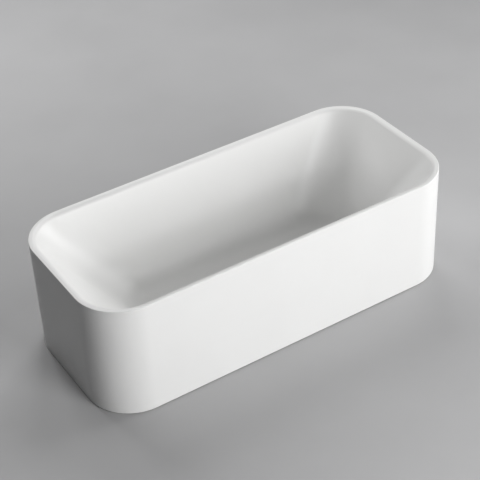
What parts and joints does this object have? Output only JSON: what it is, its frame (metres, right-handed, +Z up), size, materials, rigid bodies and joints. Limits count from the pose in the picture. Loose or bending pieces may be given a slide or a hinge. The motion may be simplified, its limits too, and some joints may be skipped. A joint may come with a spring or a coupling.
{
  "type": "freestanding bathtub",
  "caption": "Freestanding double-ended bathtub: straight-sided skirt with rounded corners, thin flat rim, sloped basin, click waste, overflow and screw feet.",
  "frame": {"origin": "centre of the footprint, on the floor plane under the feet", "axes": "+X along the tub's length, -Y towards the long side with the overflow, +Z up"},
  "size_m": [1.7, 0.75, 0.52],
  "materials": {
    "acrylic_white": "satin white sanitary acrylic, backed with glass-fibre resin",
    "bonding_paste": "matte cured paste",
    "plywood": "raw birch plywood",
    "galvanised_steel": "galvanised",
    "zinc_plated_steel": "bright zinc plate",
    "foot_plastic": "matte black polyamide",
    "seal_rubber": "matte black rubber",
    "chrome_trim": "polished chrome plate",
    "cartridge_brass": "turned brass",
    "spring_steel": "drawn stainless wire",
    "pipe_plastic": "white polypropylene",
    "corrugated_plastic": "grey corrugated polypropylene"
  },
  "bodies": {
    "tub": {"basin_shell": "acrylic_white", "outer_skirt": "acrylic_white", "rim_bond": "bonding_paste", "floor_board": "plywood", "cross_bar_left": "galvanised_steel", "cross_bar_right": "galvanised_steel", "bar_screws": "zinc_plated_steel", "skirt_brackets": "galvanised_steel", "bracket_screws": "zinc_plated_steel", "adjusting_nuts": "zinc_plated_steel", "lock_nuts": "zinc_plated_steel", "flange_gasket": "seal_rubber", "waste_flange": "chrome_trim", "click_cartridge": "cartridge_brass", "plug_spring": "spring_steel", "body_gasket": "seal_rubber", "waste_body": "pipe_plastic", "outlet_nut": "pipe_plastic", "outlet_seal": "seal_rubber", "outlet_elbow": "pipe_plastic", "overflow_cover": "chrome_trim", "overflow_screw": "chrome_trim", "overflow_gasket": "seal_rubber", "overflow_elbow": "pipe_plastic", "overflow_pipe": "corrugated_plastic", "pipe_clamps": "zinc_plated_steel"},
    "waste_plug": {"plug_stem": "cartridge_brass", "plug_cap": "chrome_trim", "plug_seal": "seal_rubber"},
    "foot_front_left": {"foot_pad_front_left": "foot_plastic", "foot_stud_front_left": "zinc_plated_steel"},
    "foot_front_right": {"foot_pad_front_right": "foot_plastic", "foot_stud_front_right": "zinc_plated_steel"},
    "foot_back_left": {"foot_pad_back_left": "foot_plastic", "foot_stud_back_left": "zinc_plated_steel"},
    "foot_back_right": {"foot_pad_back_right": "foot_plastic", "foot_stud_back_right": "zinc_plated_steel"}
  },
  "joints": [
    {"name": "plug_slide", "type": "slide", "parent": "tub", "child": "waste_plug", "axis": [0, 0, 1], "range_m": [0, 0.008], "deforming": ["plug_spring"]},
    {"name": "level_front_left", "type": "slide", "parent": "tub", "child": "foot_front_left", "axis": [0, 0, 1], "range_m": [-0.02, 0.003]},
    {"name": "level_front_right", "type": "slide", "parent": "tub", "child": "foot_front_right", "axis": [0, 0, 1], "range_m": [-0.02, 0.003]},
    {"name": "level_back_left", "type": "slide", "parent": "tub", "child": "foot_back_left", "axis": [0, 0, 1], "range_m": [-0.02, 0.003]},
    {"name": "level_back_right", "type": "slide", "parent": "tub", "child": "foot_back_right", "axis": [0, 0, 1], "range_m": [-0.02, 0.003]}
  ]
}
